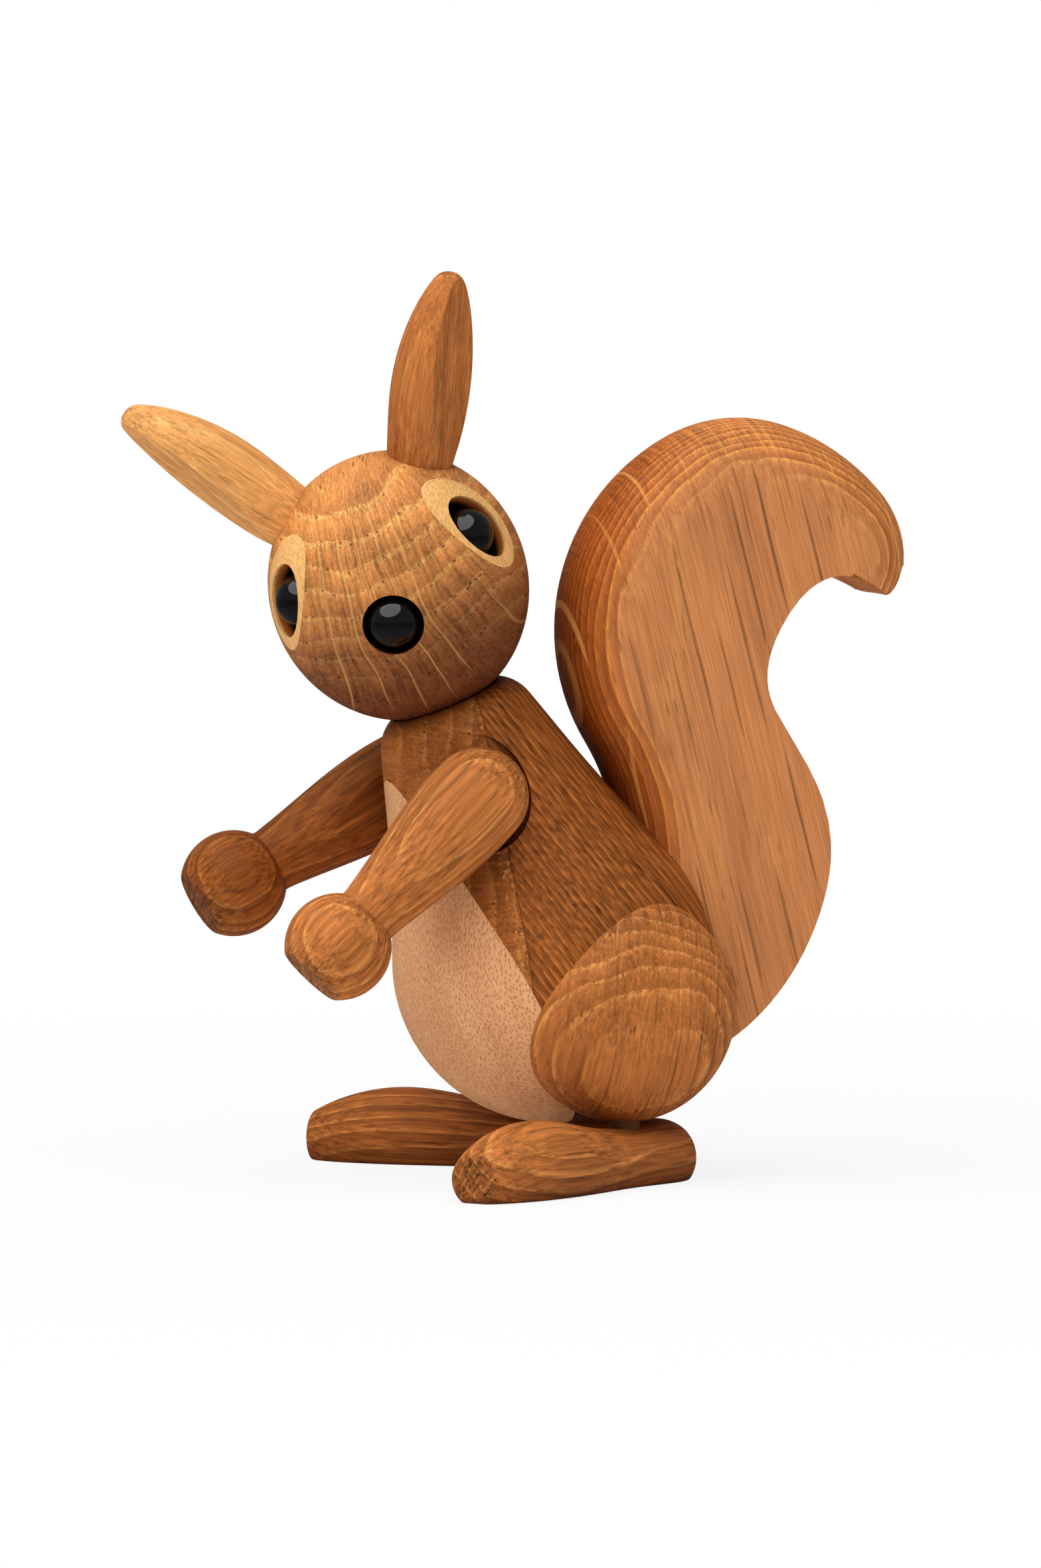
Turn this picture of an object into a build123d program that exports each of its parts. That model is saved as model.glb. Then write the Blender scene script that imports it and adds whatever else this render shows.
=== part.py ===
from build123d import *
import os
from math import cos, radians, sin, sqrt

# Jointed wooden squirrel, in millimetres and degrees.
# It faces -Y, its left side is +X, and the floor is Z = 0.

# Fits
running_gap = 0.05
seat_gap = 0.2

# Body, a turned pear that leans forward
belly_radius = 20.8
belly_above_floor = 7.0
body_y = 4.4
body_lean = 23.1
hip_angle = 21.8
waist_radius = 13.75
waist_along = 22.6
neck_radius = 10.3
neck_below_seat = 1.8
neck_flare = 17.5
neck_rounding = 5.5

# Belly inlay, the front slice of the same turning
inlay_belly_depth = 12.05
inlay_top_along = 31.0
inlay_top_past_neck = 1.0

# Head, a turned ball a little taller than wide
head_seat_along = 35.6
head_radius = 16.65
head_half_height = 17.5
head_turn = 66.9

# Neck dowel and its friction ring
neck_dowel_radius = 2.5
neck_dowel_in_body = 7.5
neck_dowel_past_middle = -4.5
neck_ring_up = 7.0

# Ears
ear_spreads = {"left": 31.5, "right": 35.9}
ear_seat_sunk = 1.5
ear_length = 24.4
ear_base_radius = 4.15
ear_base_flare = 0.12
ear_radius = 5.25
ear_widest_up = 10.0
ear_upper_radius = 4.0
ear_upper_up = 18.4
ear_point_radius = 2.3
ear_point_up = 22.7
ear_facet_angle = 60.0
ear_facet_out = 2.9
ear_facet_up = 11.3
ear_facet_tilt = 6.5
ear_dowel_radius = 1.5
ear_dowel_in_head = 6.0
ear_dowel_in_ear = 8.0

# Eyes, oval rings let in flush, each with a black bead low in its oval hole
eye_arounds = {"left": 62.0, "right": 57.0}
eye_rise = 20.9
eye_drill_around = 64.0
eye_tilt = 18.0
eye_ring_half_long = 7.75
eye_ring_half_short = 4.85
eye_ring_depth = 6.0
eye_hole_half_long = 4.9
eye_hole_half_short = 3.55
eye_hole_depth = 4.8
eye_hole_low = 0.9
eye_hole_inward = 0.5
eye_radius = 3.48
eye_proud = 0.6

# Nose bead in its drilled socket
nose_drop = 6.3
nose_socket_radius = 3.95
nose_socket_depth = 4.0
nose_radius = 3.3
nose_flat = 2.4

# Shoulders and arms
shoulder_forward = 15.0
shoulder_up = 22.6
arm_out = 16.25
shoulder_seat_out = 10.6
shoulder_recess_radius = 7.9
left_arm_drop = 45.0
right_arm_drop = 29.0
arm_radius = 6.4
arm_swell = 0.05
wrist_radius = 4.2
wrist_taper = 0.12
wrist_along = 20.4
hand_along = 26.5
hand_radius = 6.85
hand_tip_along = 31.8
shoulder_dowel_radius = 2.5
shoulder_dowel_in_arm = 8.0
shoulder_ring_in_arm = 4.0
hand_tip_round = 0.5

# Thighs, flattened balls coped to the pear
thigh_inset = 6.8
thigh_back = 5.2
thigh_above_floor = 8.0
thigh_radius = 14.7
thigh_half_thick = 9.5

# Feet, turned on dowels under the thighs
foot_splays = {"left": 38.0, "right": 35.5}
foot_pivot_from_heel = 10.2
foot_length = 44.0
foot_core_height = 3.0
foot_heel_oval = (4.3, 7.2)
foot_ankle_oval = (5.1, 8.1)
foot_ankle_from_heel = 3.6
foot_pivot_oval = (5.2, 7.6)
foot_instep_oval = (5.7, 8.2)
foot_instep_from_ball = 11.0
foot_ball_oval = (6.2, 9.7)
foot_ball_from_toe = 13.2
foot_toe_oval = (5.3, 8.5)
foot_toe_from_tip = 5.2
foot_tip_oval = (3.3, 6.2)
foot_edge_round = 0.8
foot_dowel_radius = 2.0
foot_dowel_floor = 2.4
foot_dowel_in_body = 6.0
foot_ring_up = 4.6

# Tail, a sawn plank with a domed crown, placed from the belly's rearmost point
tail_thick = 18.0
tail_edge_round = 8.6
tail_front_inset = 12.0
tail_root_down = 13.5
tail_straight_up = 13.6
tail_crown_arcs = ((27.2, 31.7), (28.0, -95.1), (19.3, -46.5), (29.5, -30.8), (12.3, -68.8))
tail_dome_middle = (11.2, 38.0)
tail_dome_flat_radius = 24.0
tail_dome_radius = 35.4
tail_dome_start = 45.0
tail_dome_turn = 162.0
tail_lip = (24.9, 50.4)
tail_lip_low = (21.0, 47.0)
tail_lip_in = (16.7, 49.4)
tail_hook = (13.8, 49.4)
tail_hollow = (5.2, 36.0)
tail_bulge = (13.8, 15.3)
tail_heel = (0.1, -10.0)
tail_rear_fairs = ((7.6, 44.0), (10.4, 25.6), (11.9, 5.0), (5.8, -5.1))
tail_dowel_radius = 2.0
tail_dowel_half = 8.0
tail_dowel_rises = {"upper": 11.0, "lower": 3.0}

# Friction rings on all turning dowels
ring_wire_radius = 0.7
ring_proud = 0.02

os.makedirs("parts", exist_ok=True)
sides = {"left": 1, "right": -1}


def save(builder, name):
    builder.part.label = name
    export_step(builder.part, f"parts/{name}.step")


# Frames of the body and the head
side_way = Vector(1, 0, 0)
lean = radians(body_lean)
body_centre = Vector(0, body_y, belly_above_floor + belly_radius)
body_up = Vector(0, -sin(lean), cos(lean))
body_front = Vector(0, -cos(lean), -sin(lean))
body_section = Plane(body_centre, x_dir=-body_front, z_dir=side_way)
body_axis = Axis(body_centre, body_up)

turn = radians(head_turn)
head_along = head_seat_along + head_half_height
head_centre = body_centre + body_up * head_along
head_front = body_front * cos(turn) + side_way * sin(turn)
head_left = side_way * cos(turn) - body_front * sin(turn)
head_section = Plane(head_centre, x_dir=head_left, z_dir=head_front)


def head_way(left, front, up):
    return head_left * left + head_front * front + body_up * up


def head_surface(way):
    along = way.dot(body_up)
    across = sqrt(1 - along**2)
    reach = 1 / sqrt((along / head_half_height) ** 2 + (across / head_radius) ** 2)
    return head_centre + way * reach


# Whole pear before it is sliced and bored
neck_along = head_seat_along - neck_below_seat
with BuildPart() as pear:
    with BuildSketch(body_section):
        with BuildLine():
            bottom = (0, -belly_radius)
            hip_turn = radians(hip_angle)
            hip = (belly_radius * cos(hip_turn), belly_radius * sin(hip_turn))
            ThreePointArc(bottom, (belly_radius, 0), hip)
            neck_turn = radians(neck_flare)
            neck_way = (-sin(neck_turn), cos(neck_turn))
            side = Spline(
                hip,
                (waist_radius, waist_along),
                (neck_radius, neck_along),
                tangents=((-sin(hip_turn), cos(hip_turn)), neck_way),
            )
            crown = JernArc(side @ 1, neck_way, neck_rounding, 90 - neck_flare)
            rim = crown @ 1
            Polyline(rim, (0, rim.Y), bottom)
        make_face()
    revolve(axis=body_axis)


# Whole head ball, and the same ball grown by the seat's gap
balls = {}
for grown in (0, seat_gap):
    with BuildPart() as ball:
        with BuildSketch(head_section):
            with BuildLine():
                tall = head_half_height + grown
                wide = head_radius + grown
                EllipticalCenterArc((0, 0), wide, tall, start_angle=-90, arc_size=180)
                Line((0, tall), (0, -tall))
            make_face()
        revolve(axis=Axis(head_centre, body_up))
    balls[grown] = ball.part

# Places of the dowels
neck_floor = body_centre + body_up * (head_seat_along - neck_dowel_in_body)
neck_dowel_length = neck_dowel_in_body + head_half_height + neck_dowel_past_middle
neck_plane = Plane(neck_floor, x_dir=side_way, z_dir=body_up)
shoulder = body_centre + Vector(0, -shoulder_forward, shoulder_up)
shoulder_plane = Plane(shoulder, x_dir=(0, 1, 0), z_dir=side_way)
arm_seat_out = shoulder_seat_out + seat_gap
shoulder_dowel_half = arm_seat_out + shoulder_dowel_in_arm
thigh_out = belly_radius - thigh_inset
thigh_y = body_y + thigh_back
thigh_z = thigh_above_floor + thigh_radius
belly_over_pivot = body_centre.Z - sqrt(belly_radius**2 - thigh_out**2 - thigh_back**2)
foot_dowel_top = belly_over_pivot + foot_dowel_in_body

# Inlay plane, through its lines at the belly and near the neck
inlay_belly_out = belly_radius - inlay_belly_depth
inlay_top_out = neck_radius + inlay_top_past_neck
inlay_way = body_up * inlay_top_along + body_front * (inlay_top_out - inlay_belly_out)
inlay_origin = body_centre + body_front * inlay_belly_out
inlay_plane = Plane(inlay_origin, x_dir=side_way, z_dir=side_way.cross(inlay_way))


def foot_pivot(sign, height):
    return Plane((sign * thigh_out, thigh_y, height))


def tail_dowel_start(rise):
    back = sqrt(belly_radius**2 - rise**2)
    origin = body_centre + Vector(0, back - tail_dowel_half, rise)
    return Plane(origin, x_dir=side_way, z_dir=(0, 1, 0))


# Body, the oak part of the pear
with BuildPart() as body:
    add(pear.part)
    split(bisect_by=inlay_plane, keep=Keep.BOTTOM)
    add(balls[seat_gap], mode=Mode.SUBTRACT)
    with BuildSketch(neck_plane):
        Circle(neck_dowel_radius)
    extrude(amount=neck_dowel_length, mode=Mode.SUBTRACT)
    with BuildSketch(shoulder_plane):
        Circle(shoulder_dowel_radius)
    extrude(amount=shoulder_dowel_half, both=True, mode=Mode.SUBTRACT)
    for sign in sides.values():
        with BuildSketch(shoulder_plane.offset(sign * shoulder_seat_out)):
            Circle(shoulder_recess_radius)
        extrude(amount=sign * belly_radius, mode=Mode.SUBTRACT)
        with BuildSketch(foot_pivot(sign, foot_dowel_top)):
            Circle(foot_dowel_radius)
        extrude(amount=-foot_dowel_top, mode=Mode.SUBTRACT)
    for rise in tail_dowel_rises.values():
        with BuildSketch(tail_dowel_start(rise)):
            Circle(tail_dowel_radius)
        extrude(amount=2 * tail_dowel_half, mode=Mode.SUBTRACT)
save(body, "body")

# Belly inlay, the maple slice in front
with BuildPart() as belly_inlay:
    add(pear.part)
    split(bisect_by=inlay_plane, keep=Keep.TOP)
save(belly_inlay, "belly_inlay")

# Thighs, the right one a mirror image of the left
thigh_centre = Vector(thigh_out, thigh_y, thigh_z)
with BuildPart() as left_thigh:
    with BuildSketch(Plane(thigh_centre, x_dir=side_way, z_dir=(0, -1, 0))):
        with BuildLine():
            EllipticalCenterArc((0, 0), thigh_half_thick, thigh_radius, start_angle=0, arc_size=180)
            Line((-thigh_half_thick, 0), (thigh_half_thick, 0))
        make_face()
    revolve(axis=Axis(thigh_centre, side_way))
    add(pear.part, mode=Mode.SUBTRACT)
    with BuildSketch(foot_pivot(sides["left"], 0)):
        Circle(foot_dowel_radius)
    extrude(amount=foot_dowel_top, mode=Mode.SUBTRACT)
save(left_thigh, "left_thigh")

with BuildPart() as right_thigh:
    mirror(left_thigh.part, about=Plane.YZ)
save(right_thigh, "right_thigh")

# Tail, a crown with rounded edges, domed on both sides and cut back to the rear curve
tail_origin = body_centre + Vector(0, belly_radius, 0)
tail_section = Plane(tail_origin, x_dir=(0, 1, 0), z_dir=side_way)
tail_front = -tail_front_inset
tail_root = (tail_front, -tail_root_down)
tail_half = tail_thick / 2
dome_middle = tail_section.from_local_coords((*tail_dome_middle, 0))
dome_turn = radians(tail_dome_start)
dome_way = Vector(0, cos(dome_turn), sin(dome_turn))
with BuildPart() as tail:
    with BuildSketch(tail_section):
        with BuildLine():
            crown = Line(tail_root, (tail_front, tail_straight_up))
            for radius, sweep_angle in tail_crown_arcs:
                crown = JernArc(crown @ 1, crown % 1, radius, sweep_angle)
            past_lip = crown @ 1
            Polyline(past_lip, (tail_bulge[0], tail_hollow[1]), (tail_bulge[0], -tail_root_down), tail_root)
        make_face()
    extrude(amount=tail_half, both=True)
    crown_edges = tail.faces().filter_by(Axis.X).edges().filter_by(GeomType.CIRCLE)
    fillet(crown_edges, tail_edge_round)
    for sign in sides.values():
        with BuildSketch(Plane(dome_middle, x_dir=dome_way, z_dir=dome_way.cross(side_way))):
            with BuildLine():
                dome_foot = (tail_dome_flat_radius, sign * tail_half)
                dome_top = (tail_dome_radius, 0)
                TangentArc(dome_foot, dome_top, tangent=(1, 0))
                clear = (tail_dome_radius + tail_thick, sign * tail_thick)
                Polyline(dome_top, (clear[0], 0), clear, (tail_dome_flat_radius, clear[1]), dome_foot)
            make_face()
        revolve(axis=Axis(dome_middle, side_way), revolution_arc=tail_dome_turn, mode=Mode.SUBTRACT)
    with BuildSketch(tail_section):
        with BuildLine():
            rear = Spline(
                tail_lip, tail_lip_low, tail_lip_in, tail_hook, tail_rear_fairs[0], tail_hollow,
                tail_rear_fairs[1], tail_bulge, tail_rear_fairs[2], tail_rear_fairs[3], tail_heel, tail_root,
            )
            beyond = tail_lip[0] + tail_thick
            below = -tail_root_down - tail_thick
            Polyline(rear @ 1, (tail_front, below), (beyond, below), (beyond, tail_lip[1]), tail_lip)
        make_face()
    extrude(amount=tail_thick, both=True, mode=Mode.SUBTRACT)
    add(pear.part, mode=Mode.SUBTRACT)
    add([left_thigh.part, right_thigh.part], mode=Mode.SUBTRACT)
    for rise in tail_dowel_rises.values():
        with BuildSketch(tail_dowel_start(rise)):
            Circle(tail_dowel_radius)
        extrude(amount=2 * tail_dowel_half, mode=Mode.SUBTRACT)
save(tail, "tail")


# Ways and planes on the head
facet_turn = radians(ear_facet_angle)
facet_tilt = radians(ear_facet_tilt)
drop = radians(nose_drop)
nose_way = head_way(0, cos(drop), -sin(drop))
nose_floor = Plane(head_surface(nose_way) - nose_way * nose_socket_depth, z_dir=nose_way)
head_bore = neck_dowel_length + seat_gap


def ear_plane(name, up):
    spread = radians(ear_spreads[name])
    way = head_way(sides[name] * sin(spread), 0, cos(spread))
    return Plane(head_surface(way) + way * up, x_dir=head_front, z_dir=way)


def around_way(sign, around, rise):
    level = cos(radians(rise))
    return head_way(sign * sin(radians(around)) * level, cos(radians(around)) * level, sin(radians(rise)))


def eye_plane(name, sunk):
    way = around_way(sides[name], eye_drill_around, eye_rise)
    outward = around_way(sides[name], eye_drill_around + 90, 0)
    slanted = outward * sin(radians(eye_tilt)) - body_up * cos(radians(eye_tilt))
    long_way = (slanted - way * slanted.dot(way)).normalized()
    origin = head_surface(around_way(sides[name], eye_arounds[name], eye_rise))
    return Plane(origin - way * sunk, x_dir=long_way, z_dir=way)


def eye_hole_plane(name, sunk):
    inward = -sides[name] * eye_hole_inward
    ring = eye_plane(name, sunk)
    middle = ring.from_local_coords((eye_hole_low, inward, 0))
    return Plane(middle, x_dir=ring.x_dir, z_dir=ring.z_dir)


# Head
with BuildPart() as head:
    add(balls[0])
    with BuildSketch(neck_plane):
        Circle(neck_dowel_radius + running_gap)
    extrude(amount=head_bore, mode=Mode.SUBTRACT)
    with BuildSketch(nose_floor):
        Circle(nose_socket_radius)
    extrude(amount=2 * nose_socket_depth, mode=Mode.SUBTRACT)
    for name in sides:
        with BuildSketch(ear_plane(name, -ear_dowel_in_head)):
            Circle(ear_dowel_radius)
        extrude(amount=2 * ear_dowel_in_head, mode=Mode.SUBTRACT)
        with BuildSketch(eye_plane(name, eye_ring_depth)):
            Ellipse(eye_ring_half_long, eye_ring_half_short)
        extrude(amount=2 * eye_ring_depth, mode=Mode.SUBTRACT)
save(head, "head")

# Ears and their dowels
for name, sign in sides.items():
    base = ear_plane(name, 0)
    out_way = base.x_dir.cross(base.z_dir) * -sign
    facet_way = head_front * cos(facet_turn) + out_way * sin(facet_turn)
    facet_normal = facet_way * cos(facet_tilt) + base.z_dir * sin(facet_tilt)
    facet_origin = base.origin + base.z_dir * ear_facet_up + facet_way * ear_facet_out
    with BuildPart() as ear:
        with BuildSketch(Plane(base.origin, x_dir=head_front, z_dir=-base.y_dir)):
            with BuildLine():
                foot_end = (ear_base_radius, -ear_seat_sunk)
                tip_end = (0, ear_length)
                Spline(
                    foot_end, (ear_radius, ear_widest_up), (ear_upper_radius, ear_upper_up),
                    (ear_point_radius, ear_point_up), tip_end,
                    tangents=((ear_base_flare, 1), (-1, 0)),
                )
                Polyline(tip_end, (0, -ear_seat_sunk), foot_end)
            make_face()
        revolve(axis=Axis(base.origin, base.z_dir))
        split(bisect_by=Plane(facet_origin, z_dir=facet_normal), keep=Keep.BOTTOM)
        add(balls[0], mode=Mode.SUBTRACT)
        with BuildSketch(ear_plane(name, -ear_dowel_in_head)):
            Circle(ear_dowel_radius)
        extrude(amount=ear_dowel_in_head + ear_dowel_in_ear, mode=Mode.SUBTRACT)
    save(ear, f"{name}_ear")

    with BuildPart() as ear_dowel:
        with BuildSketch(ear_plane(name, -ear_dowel_in_head)):
            Circle(ear_dowel_radius)
        extrude(amount=ear_dowel_in_head + ear_dowel_in_ear)
    save(ear_dowel, f"{name}_ear_dowel")

# Eye rings and eyes
for name in sides:
    with BuildPart() as eye_ring:
        add(balls[0])
        with BuildSketch(eye_plane(name, eye_ring_depth)):
            Ellipse(eye_ring_half_long, eye_ring_half_short)
        extrude(amount=2 * eye_ring_depth, mode=Mode.INTERSECT)
        with BuildSketch(eye_hole_plane(name, eye_hole_depth)):
            Ellipse(eye_hole_half_long, eye_hole_half_short)
        extrude(amount=2 * eye_ring_depth, mode=Mode.SUBTRACT)
    save(eye_ring, f"{name}_eye_ring")

    with BuildPart(eye_hole_plane(name, eye_radius - eye_proud)) as eye:
        Sphere(eye_radius)
        split(bisect_by=eye_plane(name, eye_hole_depth), keep=Keep.TOP)
    save(eye, f"{name}_eye")

# Nose
with BuildPart(nose_floor.offset(nose_flat)) as nose:
    Sphere(nose_radius)
    split(bisect_by=nose_floor, keep=Keep.TOP)
save(nose, "nose")

# Arms, turned spindles with a ball hand and a flat seat at the shoulder
arm_drops = {"left": left_arm_drop, "right": right_arm_drop}
for name, sign in sides.items():
    arm_turn = radians(arm_drops[name])
    arm_way = Vector(0, -cos(arm_turn), -sin(arm_turn))
    arm_origin = shoulder + side_way * (sign * arm_out)
    wrist_neck = hand_along - sqrt(hand_radius**2 - wrist_radius**2)
    hand_tip_radius = sqrt(hand_radius**2 - (hand_tip_along - hand_along) ** 2)
    with BuildPart() as arm:
        with BuildSketch(Plane(arm_origin, x_dir=side_way, z_dir=side_way.cross(arm_way))):
            with BuildLine():
                elbow = (arm_radius, 0)
                RadiusArc((0, -arm_radius), elbow, -arm_radius)
                Spline(elbow, (wrist_radius, wrist_along), tangents=((arm_swell, 1), (-wrist_taper, 1)))
                Line((wrist_radius, wrist_along), (wrist_radius, wrist_neck))
                ThreePointArc(
                    (wrist_radius, wrist_neck), (hand_radius, hand_along), (hand_tip_radius, hand_tip_along)
                )
                Polyline((hand_tip_radius, hand_tip_along), (0, hand_tip_along), (0, -arm_radius))
            make_face()
        revolve(axis=Axis(arm_origin, arm_way))
        hand_tip = arm_origin + arm_way * hand_tip_along
        fillet(arm.edges().sort_by_distance(hand_tip)[0], hand_tip_round)
        with BuildSketch(shoulder_plane):
            Circle(hand_along - hand_radius)
        extrude(amount=sign * arm_seat_out, mode=Mode.SUBTRACT)
        with BuildSketch(shoulder_plane):
            Circle(shoulder_dowel_radius + running_gap)
        extrude(amount=sign * (shoulder_dowel_half + seat_gap), mode=Mode.SUBTRACT)
    save(arm, f"{name}_arm")

# Feet, lofted through ovals and cut flat at the sole
foot_ball = foot_length - foot_ball_from_toe
foot_ovals = (
    (0, foot_heel_oval),
    (foot_ankle_from_heel, foot_ankle_oval),
    (foot_pivot_from_heel, foot_pivot_oval),
    (foot_ball - foot_instep_from_ball, foot_instep_oval),
    (foot_ball, foot_ball_oval),
    (foot_length - foot_toe_from_tip, foot_toe_oval),
    (foot_length, foot_tip_oval),
)
for name, sign in sides.items():
    splay = radians(foot_splays[name])
    foot_way = Vector(sign * sin(splay), -cos(splay), 0)
    pivot = foot_pivot(sign, 0).origin
    with BuildPart() as foot:
        for along, (half_width, top) in foot_ovals:
            oval_origin = pivot + foot_way * (along - foot_pivot_from_heel) + Vector(0, 0, foot_core_height)
            with BuildSketch(Plane(oval_origin, x_dir=foot_way.cross(Vector(0, 0, 1)), z_dir=foot_way)):
                Ellipse(half_width, top - foot_core_height)
        loft()
        split(bisect_by=Plane.XY, keep=Keep.TOP)
        fillet(foot.edges(), foot_edge_round)
        with BuildSketch(foot_pivot(sign, foot_dowel_floor - seat_gap)):
            Circle(foot_dowel_radius + running_gap)
        extrude(amount=foot_dowel_top, mode=Mode.SUBTRACT)
    save(foot, f"{name}_foot")


def turning_dowel(name, start, length, radius, ring_ups):
    with BuildPart() as dowel:
        with BuildSketch(start):
            Circle(radius)
        extrude(amount=length)
        for ring_up in ring_ups:
            with BuildSketch(start.offset(ring_up - ring_wire_radius)):
                Circle(radius)
                Circle(radius - 2 * ring_wire_radius, mode=Mode.SUBTRACT)
            extrude(amount=2 * ring_wire_radius, mode=Mode.SUBTRACT)
    save(dowel, name)


def friction_ring(name, middle, radius):
    with BuildPart(middle) as ring:
        Torus(radius + ring_proud - ring_wire_radius, ring_wire_radius)
    save(ring, name)


# Neck dowel, glued in the body, with its ring in the head
neck_ring_along = neck_dowel_in_body + neck_ring_up
turning_dowel("neck_dowel", neck_plane, neck_dowel_length, neck_dowel_radius, [neck_ring_along])
friction_ring("neck_ring", neck_plane.offset(neck_ring_along), neck_dowel_radius)

# Shoulder dowel, one rod through the chest, with a ring in each arm
shoulder_start = shoulder_plane.offset(-shoulder_dowel_half)
shoulder_ring_out = arm_seat_out + shoulder_ring_in_arm
shoulder_ring_ups = [shoulder_dowel_half + sign * shoulder_ring_out for sign in sides.values()]
turning_dowel(
    "shoulder_dowel", shoulder_start, 2 * shoulder_dowel_half, shoulder_dowel_radius, shoulder_ring_ups
)
for name, ring_up in zip(sides, shoulder_ring_ups):
    friction_ring(f"{name}_shoulder_ring", shoulder_start.offset(ring_up), shoulder_dowel_radius)

# Foot dowels, each through a thigh into the body, with a ring in the foot
for name, sign in sides.items():
    foot_start = foot_pivot(sign, foot_dowel_floor)
    foot_ring_along = foot_ring_up - foot_dowel_floor
    foot_dowel_length = foot_dowel_top - foot_dowel_floor
    turning_dowel(f"{name}_foot_dowel", foot_start, foot_dowel_length, foot_dowel_radius, [foot_ring_along])
    friction_ring(f"{name}_foot_ring", foot_start.offset(foot_ring_along), foot_dowel_radius)

# Tail dowels, glued into the body and the tail
for name, rise in tail_dowel_rises.items():
    with BuildPart() as tail_dowel:
        with BuildSketch(tail_dowel_start(rise)):
            Circle(tail_dowel_radius)
        extrude(amount=2 * tail_dowel_half)
    save(tail_dowel, f"{name}_tail_dowel")
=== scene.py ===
"""Wooden squirrel figurine: surfaces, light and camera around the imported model."""
import math

import bpy
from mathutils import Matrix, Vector


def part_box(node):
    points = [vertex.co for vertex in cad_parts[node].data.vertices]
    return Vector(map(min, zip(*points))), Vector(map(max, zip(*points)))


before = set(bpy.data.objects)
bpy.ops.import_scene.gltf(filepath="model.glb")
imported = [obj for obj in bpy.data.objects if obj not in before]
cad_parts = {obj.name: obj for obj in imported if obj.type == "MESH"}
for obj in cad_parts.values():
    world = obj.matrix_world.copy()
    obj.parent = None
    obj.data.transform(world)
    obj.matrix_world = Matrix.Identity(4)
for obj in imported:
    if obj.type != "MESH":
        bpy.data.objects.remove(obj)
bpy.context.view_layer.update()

# Directions of the figurine, facing -Y with its left side at +X
mm = 0.001
up = Vector((0, 0, 1))
left_side = Vector((1, 0, 0))
front_way = Vector((0, -1, 0))
body_lean = math.radians(23.1)
body_up = Vector((0, -math.sin(body_lean), math.cos(body_lean)))
body_front = Vector((0, -math.cos(body_lean), -math.sin(body_lean)))
head_turn = math.radians(66.9)
head_front = body_front * math.cos(head_turn) + left_side * math.sin(head_turn)
head_left = left_side * math.cos(head_turn) - body_front * math.sin(head_turn)
arm_drops = {"left": math.radians(45), "right": math.radians(29)}
foot_splays = {"left": math.radians(38), "right": math.radians(-35.5)}
ear_spreads = {"left": math.radians(31.5), "right": math.radians(-35.9)}

# The turned head, as an oval about its middle
head_radius = 16.65 * mm
head_half_height = 17.5 * mm
head_along = 53.1 * mm
head_middle = Vector((0, 4.4, 27.8)) * mm + body_up * head_along
head_axes = ((head_front, head_radius), (head_left, head_radius), (body_up, head_half_height))

# Shade in the hollows between pieces: how far off another piece darkens the wood, its tint, and how open a
# place is where the shade is full and where it ends
hollow_reach = 14 * mm
hollow_tint = (0.42, 0.3, 0.18)
hollow_full = 0.05
hollow_none = 0.9
hollow_samples = 6

# Oiled wood: its gloss, and the depth of its grain
wood_gloss = 0.1
wood_bump = 0.08 * mm


def linear(red, green, blue):
    """A colour given in ordinary 0 to 255 steps, as the light values that shaders take."""
    steps = []
    for value in (red, green, blue):
        share = value / 255
        steps.append(share / 12.92 if share <= 0.04045 else ((share + 0.055) / 1.055) ** 2.4)
    return (*steps, 1.0)


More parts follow.
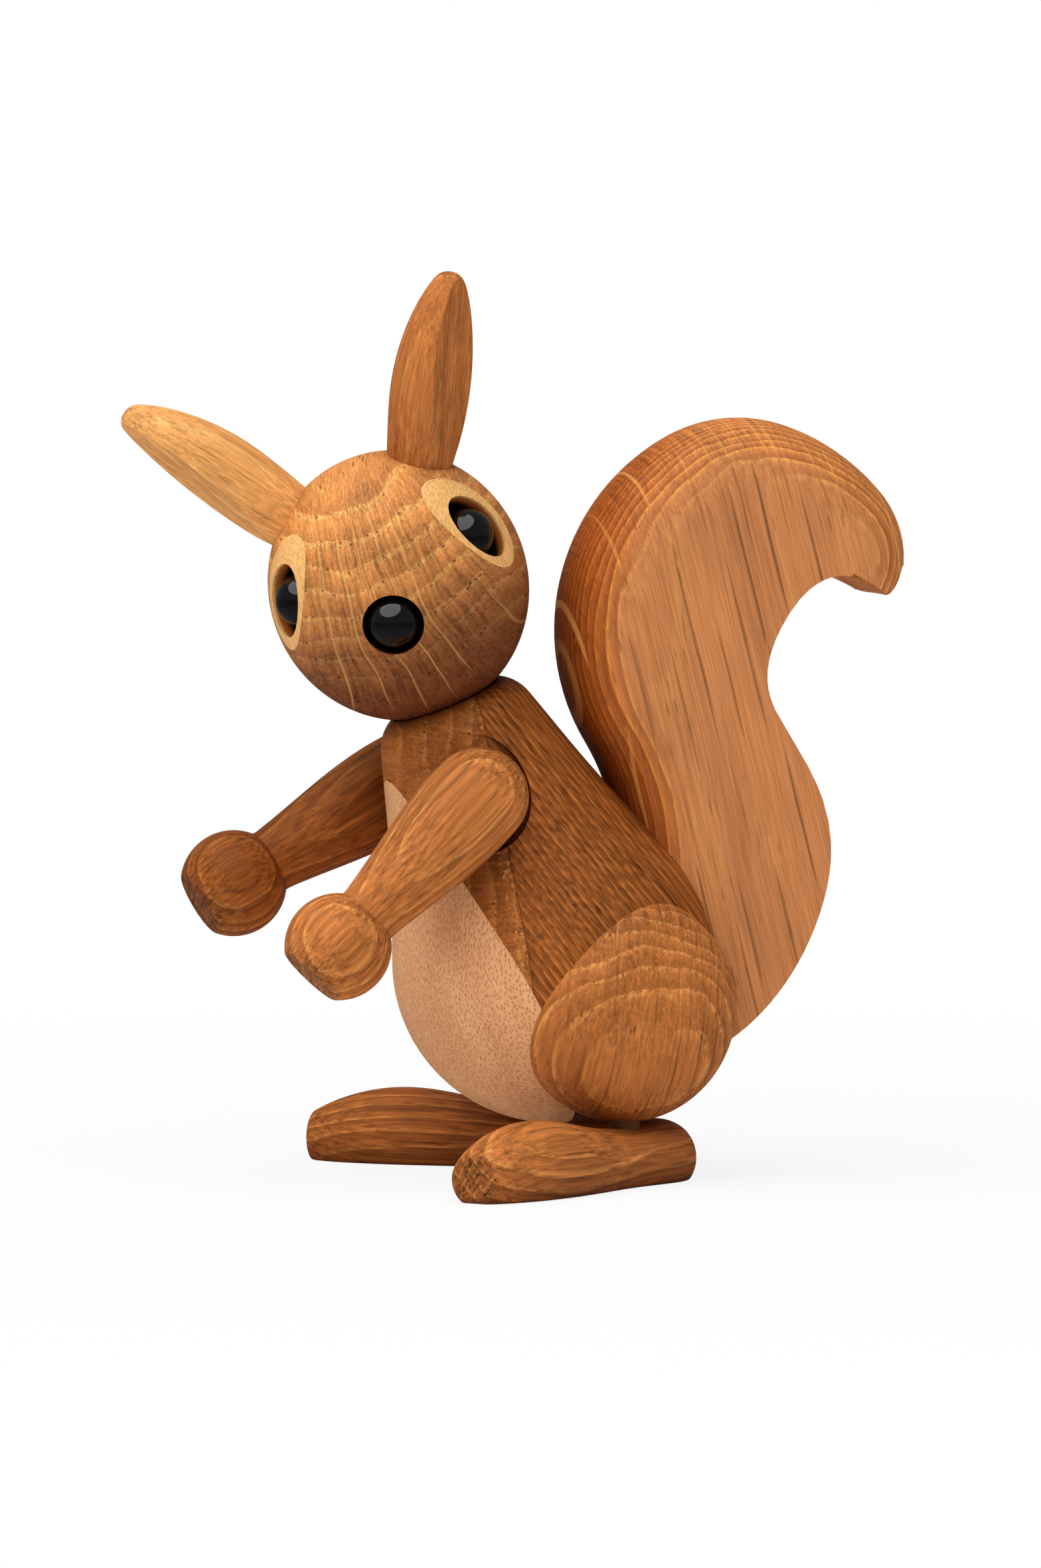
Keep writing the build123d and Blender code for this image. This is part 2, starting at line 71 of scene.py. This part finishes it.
class Graph:
    """The nodes of one material, and short ways to add to them."""

    def __init__(self, name):
        self.material = bpy.data.materials.new(name)
        self.material.use_nodes = True
        self.tree = self.material.node_tree
        self.tree.nodes.clear()
        coordinates = self.tree.nodes.new("ShaderNodeTexCoord")
        self.place = coordinates.outputs["Object"]
        self.normal = coordinates.outputs["Normal"]
        self.output = self.tree.nodes.new("ShaderNodeOutputMaterial")

    def node(self, kind, values, **settings):
        made = self.tree.nodes.new(kind)
        for name, value in settings.items():
            setattr(made, name, value)
        for socket, value in values.items():
            if isinstance(value, bpy.types.NodeSocket):
                self.tree.links.new(value, made.inputs[socket])
            else:
                made.inputs[socket].default_value = value
        return made

    def math(self, operation, *values):
        return self.node("ShaderNodeMath", dict(enumerate(values)), operation=operation).outputs[0]

    def vector(self, operation, first, second):
        made = self.node("ShaderNodeVectorMath", {0: first, 1: second}, operation=operation)
        return made.outputs["Value" if operation == "DOT_PRODUCT" else "Vector"]

    def scaled(self, colour, share):
        made = self.node("ShaderNodeVectorMath", {0: colour, "Scale": share}, operation="SCALE")
        return made.outputs["Vector"]

    def length(self, vector):
        return self.node("ShaderNodeVectorMath", {0: vector}, operation="LENGTH").outputs["Value"]

    def joined(self, x, y, z):
        return self.node("ShaderNodeCombineXYZ", {0: x, 1: y, 2: z}).outputs[0]

    def apart(self, vector):
        return self.node("ShaderNodeSeparateXYZ", {0: vector}).outputs

    def channels(self, colour):
        return self.node("ShaderNodeSeparateColor", {0: colour}).outputs

    def stretched(self, values, sizes):
        """A place in units of the given sizes."""
        parts = [self.math("DIVIDE", value, size) for value, size in zip(values, sizes)]
        return self.joined(*parts)

    def noise(self, place, detail=2.0, roughness=0.5, output="Fac"):
        values = {"Vector": place, "Scale": 1.0, "Detail": detail, "Roughness": roughness}
        return self.node("ShaderNodeTexNoise", values).outputs[output]

    def cells(self, place, dimensions="3D"):
        values = {"Vector": place, "Scale": 1.0}
        return self.node("ShaderNodeTexVoronoi", values, voronoi_dimensions=dimensions).outputs

    def step(self, value, low, high):
        """0 below low, 1 above high, smooth between; low may be the larger."""
        if low > high:
            return self.math("SUBTRACT", 1.0, self.step(value, high, low))
        values = {"Value": value, "From Min": low, "From Max": high}
        made = self.node("ShaderNodeMapRange", values, interpolation_type="SMOOTHSTEP")
        return made.outputs["Result"]

    def swing(self, value, share):
        """A noise value as a swing about nought."""
        return self.math("MULTIPLY_ADD", value, share, -0.5 * share)

    def mix(self, share, first, second):
        made = self.node("ShaderNodeMix", {0: share, 6: first, 7: second}, data_type="RGBA")
        return made.outputs[2]

    def speck(self, offset, half_thick, half_long):
        """How far a place lies from the middle of a long speck: 1 at the speck's edge."""
        parts = self.apart(offset)
        thick_part = self.math("DIVIDE", parts[0], half_thick)
        long_part = self.math("DIVIDE", parts[1], half_long)
        reach = self.math("MULTIPLY", thick_part, thick_part)
        return self.math("MULTIPLY_ADD", long_part, long_part, reach)

    def shaded(self, colour):
        """A wood's colour, warmer and darker where other pieces close it in."""
        values = {"Color": (1, 1, 1, 1), "Distance": hollow_reach}
        openness = self.node("ShaderNodeAmbientOcclusion", values, samples=hollow_samples).outputs["AO"]
        open_share = self.step(openness, hollow_full, hollow_none)
        return self.mix(open_share, self.vector("MULTIPLY", colour, hollow_tint), colour)

    def finish(self, colour, roughness, height, depth, gloss=wood_gloss):
        bump = self.node("ShaderNodeBump", {"Height": height, "Strength": 1.0, "Distance": depth})
        values = {"Base Color": colour, "Roughness": roughness, "Normal": bump.outputs[0],
                  "Specular IOR Level": gloss}
        made = self.node("ShaderNodeBsdfPrincipled", values)
        self.tree.links.new(made.outputs[0], self.output.inputs["Surface"])
        return self.material


def wood_place(graph, middle, along, outward):
    """A point of a piece in mm, out from its middle, across and along the grain, and the three ways."""
    along = along.normalized()
    outward = (outward - along * outward.dot(along)).normalized()
    across = along.cross(outward)
    point = graph.vector("SUBTRACT", graph.place, middle)
    ways = (outward, across, along)
    parts = [graph.vector("DOT_PRODUCT", point, way / mm) for way in ways]
    return parts, ways


# Oak, with lengths in mm and sizes out from the pith, round it and along the grain. Growth rings: how the wood
# sways and the rings swell, and where in a ring the pale early wood ends, the deep late wood rises and the next
# ring begins
sway_size = (18.0, 18.0, 50.0)
sway_swing = 4.0
swell_rings = 2.5
swell_round = 9.0
swell_length = 60.0
swell_swing = 1.6
early_full = 0.08
early_end = 0.32
late_from = 0.4
late_full = 0.85
ring_turn = 0.94
early_fleck_size = (0.4, 0.5, 5.0)
early_fleck_levels = (0.4, 0.6)
flat_ring_levels = (0.85, 0.98)
flat_ring_loss = 0.85

# Vessels: their length, the edge of their cells, which cells are open, and how many of them late wood shows
vessel_length = 4.5
vessel_edges = (0.34, 0.18)
vessel_chances = (0.35, 0.5)
late_vessels = 0.08
vessel_dark = 0.3

# Fibres, coarser strands, fine rays and tone patches
fibre_size = (0.18, 0.18, 9.0)
fibre_roughness = 0.6
strand_size = (0.45, 0.45, 30.0)
fine_ray_size = (7.0, 0.42, 3.0)
patch_size = (5.0, 8.0, 26.0)

# Broad rays: pale lines where the cut shows them end on, dark ones on flat-sawn faces
ray_length = 38.0
ray_depth = 40.0
ray_half_least = 0.12
ray_half_spread = 0.3
ray_core = 0.3
ray_faintest = 0.4
ray_pale_share = 0.9
ray_dark = 0.42

# How the cut of a place counts, how far it faces the figurine's front for the painted shade there, and the
# oiled surface
flat_fade = 0.17
front_shade_levels = (0.1, 0.85)
end_levels = (0.45, 0.95)
oak_smooth = 0.44
oak_rough_swing = 0.2
fibre_height = 0.35
vessel_height = -1.0
ray_height = -0.3


def oak(graph, middle, along, outward, pale, mid, deep, pith=45.0, ring=2.6, seed=0.0,
        ring_share=0.5, late_share=0.5, drift=1.2, wobble=1.0, fleck=0.6, ray_share=0.8, ray_gap=2.4,
        ray_thick=0.17, flat_from=0.8, vessel_share=0.8, vessel_size=0.45, streak=1.4, strand=0.8,
        end_streak=1.4, patch=0.7, end_dark=0.12, edge_tint=(1, 1, 1), front_shade_tint=(1, 1, 1), heart_and_shade=(0, 1, 0)):
    """Colour, roughness and height of oak cut to the given grain.

    edge_tint colours the faces that are not flat-sawn, those that face less than flat_from of the way out;
    front_shade_tint colours those that face the figurine's front with painted shade;
    heart_and_shade is where, in mm out from the middle, the wood starts and ends to turn to its deep colour,
    and how far it turns, partly as darker inner wood and partly as painted shade.
    """
    (out, across, on), (outward, _, along) = wood_place(graph, middle, along, outward)
    end_grain = graph.math("ABSOLUTE", graph.vector("DOT_PRODUCT", graph.normal, along))
    flat_grain = graph.math("ABSOLUTE", graph.vector("DOT_PRODUCT", graph.normal, outward))
    on = graph.math("ADD", on, seed)
    heart_and_shade_share = graph.math("MULTIPLY", graph.step(out, heart_and_shade[0], heart_and_shade[1]), heart_and_shade[2])
    sway = graph.channels(graph.noise(graph.stretched((out, across, on), sway_size), output="Color"))
    out = graph.math("ADD", out, graph.swing(sway[0], sway_swing * drift))
    across = graph.math("ADD", across, graph.swing(sway[1], sway_swing * drift))
    from_pith = graph.math("ADD", out, pith)
    squares = graph.math("MULTIPLY", from_pith, from_pith)
    squares = graph.math("MULTIPLY_ADD", across, across, squares)
    radius = graph.math("SQRT", squares)
    turned = graph.math("MULTIPLY", graph.math("ARCTAN2", across, from_pith), pith)
    place = (radius, turned, on)

    # Growth rings
    swell = graph.noise(graph.stretched(place, (swell_rings * ring, swell_round, swell_length)))
    phase = graph.math("ADD", graph.math("DIVIDE", radius, ring), graph.swing(swell, swell_swing * wobble))
    phase = graph.math("FRACT", phase)
    early = graph.math("ADD", graph.step(phase, early_end, early_full), graph.step(phase, ring_turn, 1.0))
    late = graph.math("MULTIPLY", graph.step(phase, late_from, late_full), graph.step(phase, 1.0, ring_turn))
    early_flecks = graph.step(graph.noise(graph.stretched(place, early_fleck_size)), *early_fleck_levels)
    early_seen = graph.math("MULTIPLY", early, graph.math("MULTIPLY_ADD", early_flecks, fleck, 1 - fleck))
    flat_ring = graph.step(flat_grain, *flat_ring_levels)
    ring_seen = graph.math("MULTIPLY_ADD", flat_ring, -flat_ring_loss * ring_share, ring_share)

    # Vessels
    vessels = graph.cells(graph.stretched(place, (vessel_size, vessel_size, vessel_length)))
    pores = graph.step(vessels["Distance"], *vessel_edges)
    vessel_chance = graph.channels(vessels["Color"])
    pores = graph.math("MULTIPLY", pores, graph.step(vessel_chance[0], *vessel_chances))
    pores = graph.math("MULTIPLY", pores, graph.math("MULTIPLY_ADD", early, 1 - late_vessels, late_vessels))

    # Fibres, strands, fine rays and patches
    fibre = graph.noise(graph.stretched(place, fibre_size), detail=3.0, roughness=fibre_roughness)
    strands = graph.noise(graph.stretched(place, strand_size), detail=1.0)
    fine_rays = graph.noise(graph.stretched(place, fine_ray_size))
    patches = graph.noise(graph.stretched(place, patch_size), detail=3.0)

    # Broad rays
    ray_place = graph.stretched((turned, on, radius), (ray_gap, ray_length, ray_depth))
    ray_cells = graph.cells(ray_place, "2D")
    offset = graph.vector("SUBTRACT", ray_place, ray_cells["Position"])
    ray_chance = graph.channels(ray_cells["Color"])
    half_length = graph.math("MULTIPLY_ADD", ray_chance[0], ray_half_spread, ray_half_least)
    ray_reach = graph.speck(offset, ray_thick / ray_gap, half_length)
    rays = graph.math("MULTIPLY", graph.step(ray_reach, 1.0, ray_core), ray_share)
    faintness = graph.math("MULTIPLY_ADD", ray_chance[1], 1 - ray_faintest, ray_faintest)
    rays = graph.math("MULTIPLY", rays, faintness)

    # Colour, from the rings to the tone of the fibres, then pores and rays
    colour = graph.mix(graph.math("MULTIPLY", early_seen, ring_seen), mid, pale)
    late_seen = graph.math("MULTIPLY", graph.math("MULTIPLY", late, ring_seen), late_share)
    colour = graph.mix(late_seen, colour, deep)
    flat_share = graph.step(flat_grain, flat_from, flat_from + flat_fade)
    colour = graph.mix(flat_share, graph.vector("MULTIPLY", colour, edge_tint), colour)
    # Painted shade: faces turned to the figurine's front take the front shade tint
    front_shade_share = graph.step(graph.vector("DOT_PRODUCT", graph.normal, front_way), *front_shade_levels)
    colour = graph.mix(front_shade_share, colour, graph.vector("MULTIPLY", colour, front_shade_tint))
    # Deep colour out from the middle: partly the wood's own, partly painted shade
    colour = graph.mix(heart_and_shade_share, colour, deep)
    tone = graph.math("ADD", graph.swing(fibre, streak), 1.0)
    tone = graph.math("ADD", tone, graph.swing(strands, strand))
    tone = graph.math("ADD", tone, graph.swing(patches, patch))
    tone = graph.math("ADD", tone, graph.math("MULTIPLY", graph.swing(fine_rays, end_streak), end_grain))
    end_share = graph.step(end_grain, *end_levels)
    tone = graph.math("MULTIPLY_ADD", end_share, -end_dark, tone)
    colour = graph.scaled(colour, tone)
    pore_share = graph.math("MULTIPLY", pores, vessel_share)
    colour = graph.mix(pore_share, colour, graph.scaled(colour, vessel_dark))
    ray_pale = graph.mix(ray_pale_share, colour, pale)
    ray_colour = graph.mix(flat_share, ray_pale, graph.scaled(colour, ray_dark))
    colour = graph.shaded(graph.mix(rays, colour, ray_colour))

    roughness = graph.math("MULTIPLY_ADD", fibre, oak_rough_swing, oak_smooth)
    roughness = graph.math("MULTIPLY_ADD", pores, oak_rough_swing, roughness)
    height = graph.math("MULTIPLY_ADD", pores, vessel_height, graph.math("MULTIPLY", fibre, fibre_height))
    height = graph.math("MULTIPLY_ADD", rays, ray_height, height)
    return colour, roughness, height


def head_depth(graph):
    """How far a point lies under the round of the head, in mm."""
    away = graph.vector("SUBTRACT", graph.place, head_middle)
    parts = [graph.vector("DOT_PRODUCT", away, axis / size) for axis, size in head_axes]
    reach = graph.length(graph.joined(*parts))
    return graph.math("MULTIPLY", graph.math("SUBTRACT", 1.0, reach), head_radius / mm)


# Maple, with lengths in mm: short flecks in cells, broad bands and fine fibres
maple_cell = (0.3, 0.8, 6.0)
maple_fleck_half_thick = 0.2
maple_fleck_half_long = 0.36
maple_fleck_core = 0.2
maple_fleck_share = 0.8
maple_band_size = (3.0, 3.5, 30.0)
maple_band_levels = (0.35, 0.7)
maple_band_share = 0.22
maple_fibre_size = (0.2, 0.2, 4.0)
maple_fibre_tone = 0.3
maple_tone_least = 0.85
maple_smooth = 0.45
maple_fleck_rough = 0.1
maple_fleck_height = -0.5
maple_fibre_height = 0.3


def maple(graph, middle, along, outward, pale, deep):
    """Colour, roughness and height of pale maple with short dark flecks."""
    (out, across, on), _ = wood_place(graph, middle, along, outward)
    fleck_place = graph.stretched((across, on, out), maple_cell)
    offset = graph.vector("SUBTRACT", fleck_place, graph.cells(fleck_place)["Position"])
    fleck_reach = graph.speck(offset, maple_fleck_half_thick, maple_fleck_half_long)
    flecks = graph.step(fleck_reach, 1.0, maple_fleck_core)
    bands = graph.noise(graph.stretched((out, across, on), maple_band_size), detail=3.0)
    fibre = graph.noise(graph.stretched((out, across, on), maple_fibre_size))
    band_share = graph.math("MULTIPLY", graph.step(bands, *maple_band_levels), maple_band_share)
    colour = graph.mix(band_share, pale, deep)
    colour = graph.mix(graph.math("MULTIPLY", flecks, maple_fleck_share), colour, deep)
    colour = graph.scaled(colour, graph.math("MULTIPLY_ADD", fibre, maple_fibre_tone, maple_tone_least))
    roughness = graph.math("MULTIPLY_ADD", flecks, maple_fleck_rough, maple_smooth)
    fibre_part = graph.math("MULTIPLY", fibre, maple_fibre_height)
    height = graph.math("MULTIPLY_ADD", flecks, maple_fleck_height, fibre_part)
    return colour, roughness, height


def middle_of(node):
    low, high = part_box(node)
    return (low + high) / 2


def paint(node, material):
    """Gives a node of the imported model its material."""
    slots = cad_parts[node].data.materials
    slots.clear()
    slots.append(material)


# Woods, from the palest to the darkest
light = dict(pale=linear(255, 206, 128), mid=linear(242, 170, 98), deep=linear(176, 104, 54))
golden = dict(pale=linear(255, 200, 116), mid=linear(228, 150, 82), deep=linear(118, 62, 34))
warm = dict(pale=linear(255, 182, 98), mid=linear(218, 141, 86), deep=linear(158, 80, 34))
brown = dict(pale=linear(236, 158, 84), mid=linear(196, 118, 59), deep=linear(126, 67, 30))
mellow = dict(pale=linear(216, 140, 70), mid=linear(176, 102, 46), deep=linear(104, 54, 22))
dark = dict(pale=linear(198, 122, 58), mid=linear(154, 85, 34), deep=linear(86, 43, 14))
# Near-black for painted shade deep in the holes of the head and the eye rings
hole_shade_black = linear(26, 16, 10)

# How each oak piece is cut from its board
tail_lean = math.radians(14)
tail_grain = Vector((0, -math.sin(tail_lean), math.cos(tail_lean)))
tail_tilt = math.radians(3)
tail_outward = Vector((math.cos(tail_tilt), math.sin(tail_tilt), 0))
thigh_lean = math.radians(8)
thigh_drop = math.radians(24)
arm_cut_rise = 0.6
arm_outward = left_side + up * arm_cut_rise
oak_cuts = {
    # The tail's front shade tint is painted shade on the crown's front side, which the head shades
    "tail": dict(along=tail_grain, outward=tail_outward, ring=0.8, seed=11, pith=400.0, drift=0.3,
                 ring_share=0.95, fleck=0.4, ray_share=0.9, ray_gap=2.3, ray_thick=0.24, vessel_share=0.45,
                 streak=1.0, strand=0.5, patch=0.5, edge_tint=(1.0, 0.9, 0.76), front_shade_tint=(0.66, 0.45, 0.23),
                 **warm),
}
for side, sign in (("left", 1), ("right", -1)):
    arm_way = Vector((0, -math.cos(arm_drops[side]), -math.sin(arm_drops[side])))
    foot_way = Vector((math.sin(foot_splays[side]), -math.cos(foot_splays[side]), 0))
    ear_way = head_left * math.sin(ear_spreads[side]) + body_up * math.cos(ear_spreads[side])
    thigh_outward = Vector((sign * math.cos(thigh_drop), 0, -math.sin(thigh_drop)))
    thigh_grain = Vector((sign * math.sin(thigh_drop), math.sin(thigh_lean), math.cos(thigh_drop)))
    # The right arm's darker wood is partly its own colour and partly painted shade, as it sits in the head's
    # shadow
    arm_wood_and_shade = brown if side == "left" else dark
    foot_wood = brown if side == "left" else mellow
    ear_wood = brown if side == "left" else light
    oak_cuts[side + "_thigh"] = dict(along=thigh_grain, outward=thigh_outward, ring=1.8, pith=90.0,
                                     seed=31 + 9 * sign, drift=0.7, ring_share=0.75, late_share=0.35,
                                     fleck=0.9, vessel_size=0.6, flat_from=0.55, ray_gap=2.0, **brown)
    oak_cuts[side + "_arm"] = dict(along=arm_way, outward=arm_outward, ring=2.4,
                                   seed=57 + 7 * sign, drift=0.6, ring_share=0.6, ray_share=0.2,
                                   vessel_share=0.35, strand=1.4, end_dark=0.3, **arm_wood_and_shade)
    oak_cuts[side + "_foot"] = dict(along=foot_way, outward=left_side * sign + up, ring=1.7,
                                    seed=77 + 11 * sign, drift=0.8, ring_share=0.7, ray_share=0.2,
                                    vessel_share=0.4, strand=1.5, end_dark=0.4, **foot_wood)
    oak_cuts[side + "_ear"] = dict(along=ear_way, outward=head_front, seed=97 + 5 * sign,
                                   drift=0.5, ring_share=0.35, ray_share=0.1,
                                   vessel_share=0.4, strand=0.9, **ear_wood)

# The tail has one small knot near its front edge: a dark heart, and a thin dark line round it. Distances are
# in radii of the knot
tail_knot = Vector((6.9, 11.3, 53.6)) * mm
knot_radius = 0.9 * mm
knot_heart_edges = (1.1, 0.6)
knot_heart_share = 0.7
knot_line_at = 1.5
knot_line_edges = (0.4, 0.1)
knot_line_share = 0.4
knot_dark = 0.35
for node, cut in oak_cuts.items():
    graph = Graph("oak_" + node)
    colour, roughness, height = oak(graph, middle_of(node), **cut)
    if node == "tail":
        away = graph.length(graph.vector("SUBTRACT", graph.place, tail_knot))
        away = graph.math("DIVIDE", away, knot_radius)
        knot_heart = graph.math("MULTIPLY", graph.step(away, *knot_heart_edges), knot_heart_share)
        from_line = graph.math("ABSOLUTE", graph.math("SUBTRACT", away, knot_line_at))
        knot_line = graph.math("MULTIPLY", graph.step(from_line, *knot_line_edges), knot_line_share)
        knot_share = graph.math("ADD", knot_heart, knot_line)
        colour = graph.mix(knot_share, colour, graph.scaled(colour, knot_dark))
    paint(node, graph.finish(colour, roughness, height, wood_bump))

# The head's front is end grain, with painted shade darkening to black down into its holes; depths are in mm
hole_shade_depths = (0.2, 1.1)
graph = Graph("oak_head")
# The head turns deep towards its underside: partly its own darker inner wood, partly painted shade beneath it
colour, roughness, height = oak(graph, middle_of("head"), head_front, -body_up, pith=46.0, ring=3.2, seed=3,
                                ring_share=0.6, late_share=0.4, wobble=0.8, fleck=0.9, end_streak=1.9,
                                ray_share=0.5, vessel_size=0.66, vessel_share=0.9, patch=1.1, end_dark=0.0,
                                heart_and_shade=(-14, 13, 0.95), **golden)
colour = graph.mix(graph.step(head_depth(graph), *hole_shade_depths), colour, hole_shade_black)
paint("head", graph.finish(colour, roughness, height, wood_bump))

# The body is two boards, glued on a steep plane behind the belly, with golden flecks by the seam; widths are
# in mm
back_lean = math.radians(37)
back_grain = Vector((0, -math.sin(back_lean), math.cos(back_lean)))
back_outward = Vector((0, math.cos(back_lean), math.sin(back_lean)))
seam_place = Vector((0, -4.6, 30)) * mm
seam_way = Vector((0, -1, -0.117)).normalized()
seam_fade = 0.05
glue_edges = (0.12, 0.036)
glue_share = 0.7
glue_dark = 0.35
seam_fleck_middle = 0.8
seam_fleck_edges = (0.8, 0.4)
seam_fleck_size = 0.5 * mm
seam_fleck_levels = (0.56, 0.66)
seam_fleck_share = 0.6
graph = Graph("oak_body")
back_colour, roughness, back_height = oak(
    graph, middle_of("body"), back_grain, back_outward, ring=0.9, pith=120.0, seed=23, drift=0.5, wobble=0.9,
    ring_share=0.6, fleck=0.3, ray_share=0.1, vessel_share=0.1, streak=0.6, strand=1.9, **dark)
front_colour, _, front_height = oak(
    graph, middle_of("body"), left_side, seam_way, ring=2.4, pith=60.0, seed=41, drift=0.5,
    ray_share=0.2, vessel_size=0.6, **mellow)
past_seam = graph.vector("SUBTRACT", graph.place, seam_place)
past_seam = graph.vector("DOT_PRODUCT", past_seam, seam_way / mm)
in_front = graph.step(past_seam, -seam_fade, seam_fade)
glue = graph.step(graph.math("ABSOLUTE", past_seam), *glue_edges)
colour = graph.mix(in_front, back_colour, front_colour)
colour = graph.mix(graph.math("MULTIPLY", glue, glue_share), colour, graph.scaled(colour, glue_dark))
from_flecks = graph.math("ABSOLUTE", graph.math("SUBTRACT", past_seam, seam_fleck_middle))
by_seam = graph.step(from_flecks, *seam_fleck_edges)
fleck_place = graph.vector("DIVIDE", graph.place, (seam_fleck_size, seam_fleck_size, seam_fleck_size))
seam_flecks = graph.step(graph.noise(fleck_place, detail=1.0), *seam_fleck_levels)
fleck_colour = graph.mix(seam_fleck_share, colour, brown["pale"])
colour = graph.mix(graph.math("MULTIPLY", by_seam, seam_flecks), colour, fleck_colour)
height = graph.node("ShaderNodeMix", {0: in_front, 2: back_height, 3: front_height}).outputs[0]
paint("body", graph.finish(colour, roughness, height, wood_bump))

# Maple belly, and the rings round the eyes, with painted shade on the walls of their holes: orange-brown near
# the rim, black in the depth
maple_tan = dict(pale=linear(247, 187, 134), deep=linear(204, 120, 66))
maple_yellow = dict(pale=linear(254, 198, 124), deep=linear(226, 158, 88))
ring_wall_shade = linear(190, 104, 42)
ring_wall_shade_depths = (0.1, 0.6)
ring_hole_shade_depths = (0.7, 1.9)
graph = Graph("maple_belly")
colour, roughness, height = maple(graph, middle_of("belly_inlay"), body_up, body_front, **maple_tan)
paint("belly_inlay", graph.finish(colour, roughness, height, wood_bump))
for side in ("left", "right"):
    graph = Graph("maple_ring_" + side)
    colour, roughness, height = maple(graph, middle_of("head"), head_front, body_up, **maple_yellow)
    depth = head_depth(graph)
    colour = graph.mix(graph.step(depth, *ring_wall_shade_depths), colour, ring_wall_shade)
    colour = graph.mix(graph.step(depth, *ring_hole_shade_depths), colour, hole_shade_black)
    paint(side + "_eye_ring", graph.finish(colour, roughness, height, wood_bump))


def plain(name, sizes, detail, first, second, smooth, rough_swing, depth, **shader):
    """A material of two close colours, mixed by a noise of the given sizes."""
    graph = Graph(name)
    noise = graph.noise(graph.vector("DIVIDE", graph.place, sizes), detail=detail)
    colour = graph.mix(noise, first, second)
    roughness = graph.math("MULTIPLY_ADD", noise, rough_swing, smooth)
    return graph.finish(colour, roughness, noise, depth, **shader)


# Black beads, turned dowels and the rubber rings that hold the turning pieces
bead_material = plain("bead_black", (mm, mm, mm), 3.0, linear(5, 5, 6), linear(12, 11, 11),
                      smooth=0.01, rough_swing=0.03, depth=0.004 * mm, gloss=0.5)
# The dowels' brown is darker than their wood: painted shade for the gaps between thigh and foot where they show
shaded_dowel_material = plain("dowel_wood", (0.4 * mm, 0.4 * mm, 6 * mm), 3.0, linear(92, 52, 26), linear(124, 76, 40),
                       smooth=0.5, rough_swing=0.2, depth=0.05 * mm)
rubber_material = plain("ring_rubber", (0.3 * mm, 0.3 * mm, 0.3 * mm), 4.0, linear(28, 28, 29),
                        linear(48, 47, 46), smooth=0.6, rough_swing=0.2, depth=0.03 * mm)
beads = ("left_eye", "right_eye", "nose")
rubber_rings = ("neck_ring", "left_shoulder_ring", "right_shoulder_ring", "left_foot_ring", "right_foot_ring")
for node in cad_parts:
    if node in beads:
        paint(node, bead_material)
    elif node.endswith("dowel"):
        paint(node, shaded_dowel_material)
    elif node in rubber_rings:
        paint(node, rubber_material)


def add_object(name, data):
    made = bpy.data.objects.new(name, data)
    bpy.context.scene.collection.objects.link(made)
    return made


# Camera at the photograph's viewing angle; the picture's height in pixels sets the scale of the view
picture_height = 2362
pixels_per_mm = 11.7
camera_turn = math.radians(73)
camera_rise = math.radians(4)
camera_away = 2.5
aim = Vector((-2.77, 0.78, 50.56)) * mm
toward_camera = Vector((math.cos(camera_rise) * math.sin(camera_turn),
                        -math.cos(camera_rise) * math.cos(camera_turn), math.sin(camera_rise)))
camera = add_object("camera", bpy.data.cameras.new("camera"))
camera.location = aim + toward_camera * camera_away
camera.rotation_euler = toward_camera.to_track_quat("Z", "Y").to_euler()
camera.data.sensor_width = 36
camera.data.lens = pixels_per_mm * camera_away / mm / picture_height * camera.data.sensor_width
camera.data.clip_end = 100
bpy.context.scene.camera = camera

# Pale floor: lit and shadowed like paper near the figurine, white to the camera far away, dim in the beads
floor_half = 30.0
floor_grey = 0.9
white_near = 0.86
white_distances = (0.05, 0.3)
reflected_dimming = -0.9
graph = Graph("floor_white")
rays_in = graph.node("ShaderNodeLightPath", {}).outputs
seen = graph.math("MAXIMUM", rays_in["Is Camera Ray"], rays_in["Is Glossy Ray"])
seen = graph.math("MAXIMUM", seen, rays_in["Is Transmission Ray"])
far_share = graph.step(graph.length(graph.place), *white_distances)
white_share = graph.math("MULTIPLY", seen, graph.math("MULTIPLY_ADD", far_share, 1 - white_near, white_near))
lit = graph.node("ShaderNodeBsdfDiffuse", {"Color": (floor_grey, floor_grey, floor_grey, 1)})
white_level = graph.math("MULTIPLY_ADD", rays_in["Is Glossy Ray"], reflected_dimming, 1.0)
white = graph.node("ShaderNodeEmission", {"Color": (1, 1, 1, 1), "Strength": white_level})
both = graph.node("ShaderNodeMixShader", {0: white_share, 1: lit.outputs[0], 2: white.outputs[0]})
graph.tree.links.new(both.outputs[0], graph.output.inputs["Surface"])
floor_mesh = bpy.data.meshes.new("floor")
floor_corners = [(x * floor_half, y * floor_half, 0) for x, y in ((-1, -1), (1, -1), (1, 1), (-1, 1))]
floor_mesh.from_pydata(floor_corners, [], [(0, 1, 2, 3)])
floor_mesh.materials.append(graph.material)
floor = add_object("floor", floor_mesh)

# Soft studio light: one large round box overhead toward the camera, in a dark room
room_grey = 0.18
world = bpy.data.worlds.new("room")
bpy.context.scene.world = world
world.use_nodes = True
room = world.node_tree.nodes["Background"]
room.inputs["Color"].default_value = (room_grey, room_grey, room_grey, 1)
room.inputs["Strength"].default_value = 1.0

box_width = 1.9
box_away = 1.15
box_power = 20.0
box_toward_camera = 0.42
box_to_left = 0.28
picture_right = Vector((math.cos(camera_turn), math.sin(camera_turn), 0))
box_way = (toward_camera * box_toward_camera - picture_right * box_to_left + up).normalized()
lamp = bpy.data.lights.new("overhead_box", "AREA")
lamp.shape = "DISK"
lamp.size = box_width
lamp.energy = box_power
box = add_object("overhead_box", lamp)
box.location = aim + box_way * box_away
box.rotation_euler = box_way.to_track_quat("Z", "Y").to_euler()
bpy.context.scene.view_settings.view_transform = "Standard"
